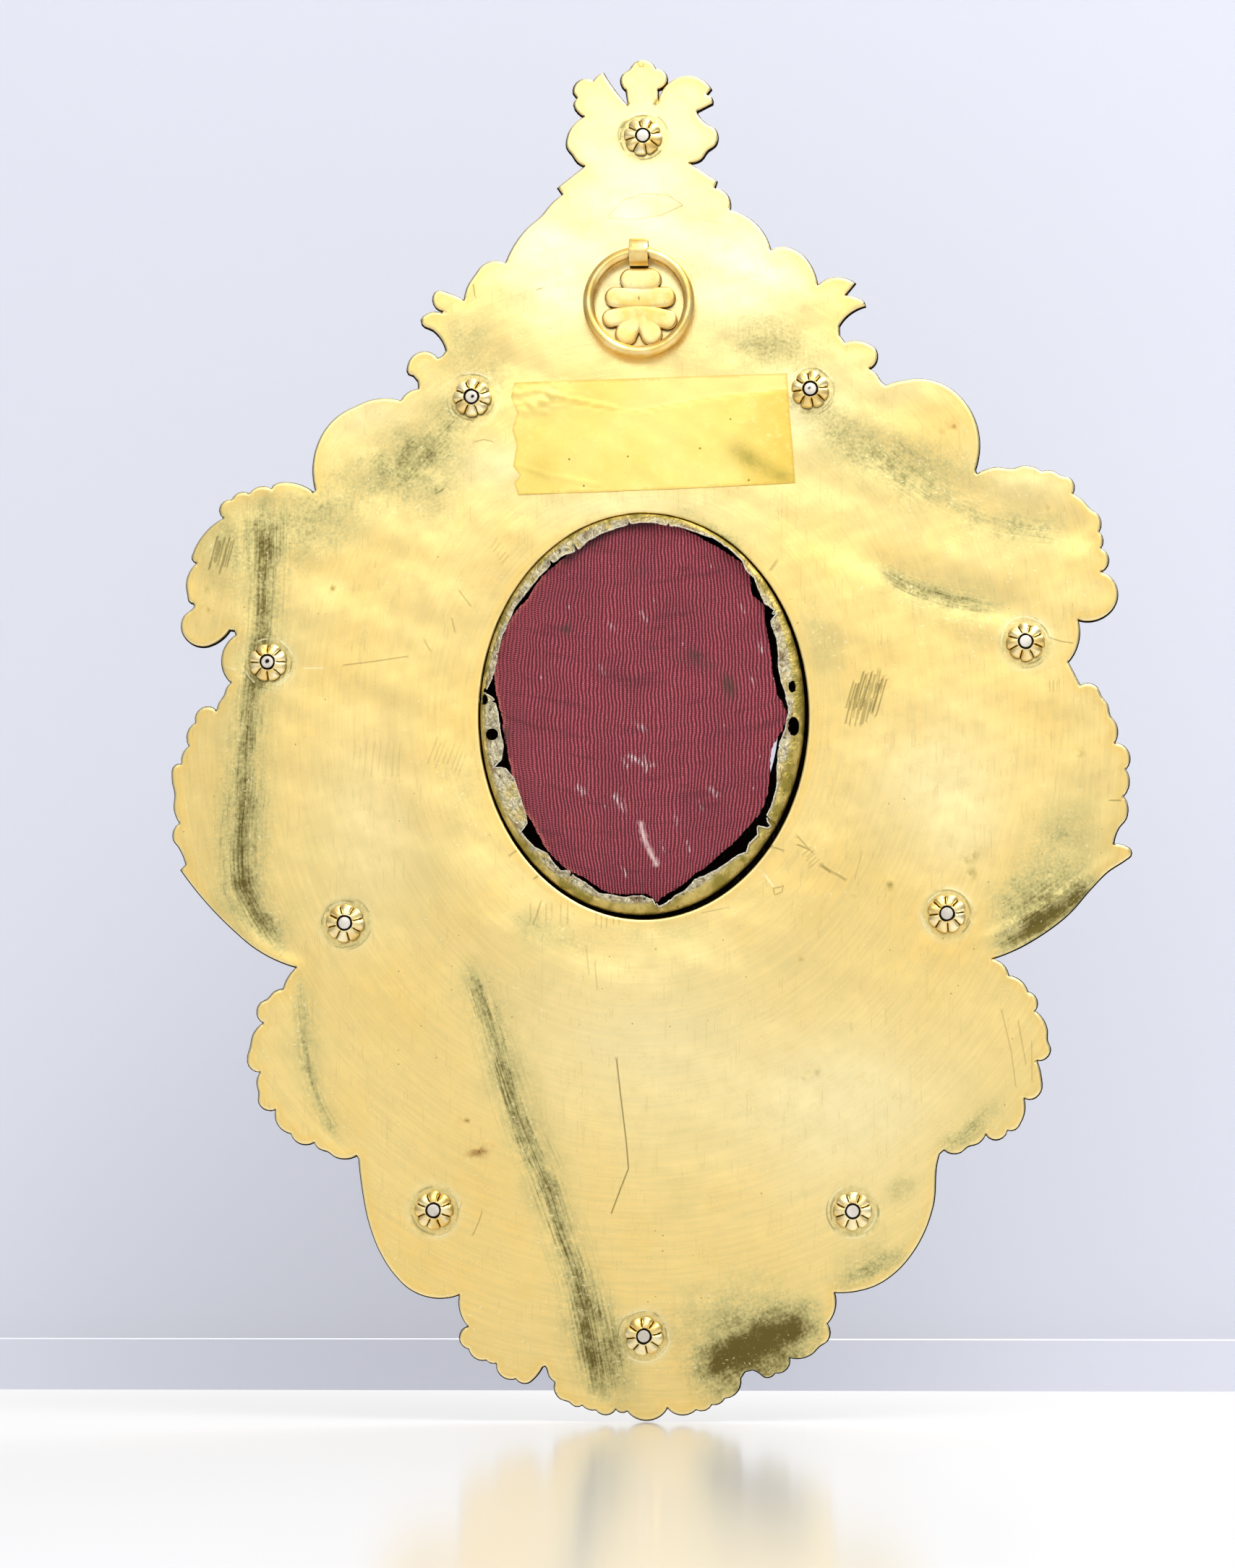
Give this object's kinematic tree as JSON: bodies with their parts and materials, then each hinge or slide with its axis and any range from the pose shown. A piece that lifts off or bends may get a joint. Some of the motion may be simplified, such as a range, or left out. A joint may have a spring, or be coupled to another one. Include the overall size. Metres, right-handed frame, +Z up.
{
  "type": "reliquary plaque",
  "caption": "Scalloped gilt metal plaque: a back plate bolted to an embossed front sheet, with a silk-backed capsule in an oval opening and a ring to hang it by.",
  "frame": {"origin": "pivot of the hanging ring in its strap loop, where the plaque hangs", "axes": "+Z up, -Y is the back with the rosette nuts and the ring, +Y is the embossed front that faces the room, +X is to the right as the back is seen"},
  "size_m": [0.2044, 0.0164, 0.2912],
  "materials": {
    "gilt_plate": "worn gilding, pale gold with greenish tarnish bands and fine scratches",
    "tarnished_front": "silvered sheet gone dark",
    "rosette_nuts": "satin cast brass, darker between the petals",
    "studs": "silver grey filed ends",
    "hanger": "satin, brushed strap over a chased flower plate",
    "hanging_ring": "polished round wire",
    "capsule": "thin crumpled sheet, stained grey brown",
    "silk": "worn ribbed silk, crimson, with pale threads and brown stains",
    "tape": "yellowed translucent film"
  },
  "bodies": {
    "plaque": {"back_plate": "gilt_plate", "front_relief": "tarnished_front", "rosette_nut_01": "rosette_nuts", "rosette_nut_02": "rosette_nuts", "rosette_nut_03": "rosette_nuts", "rosette_nut_04": "rosette_nuts", "rosette_nut_05": "rosette_nuts", "rosette_nut_06": "rosette_nuts", "rosette_nut_07": "rosette_nuts", "rosette_nut_08": "rosette_nuts", "rosette_nut_09": "rosette_nuts", "rosette_nut_10": "rosette_nuts", "stud_01": "studs", "stud_02": "studs", "stud_03": "studs", "stud_04": "studs", "stud_05": "studs", "stud_06": "studs", "stud_07": "studs", "stud_08": "studs", "stud_09": "studs", "stud_10": "studs", "ring_hanger": "hanger", "capsule": "capsule", "silk_panel": "silk", "tape_patch": "tape"},
    "ring": {"hanging_ring": "hanging_ring"}
  },
  "joints": [
    {"name": "ring_swing", "type": "hinge", "parent": "plaque", "child": "ring", "pos_m": [0, 0, 0], "axis": [-1, 0, 0], "range_deg": [-4, 180]}
  ]
}
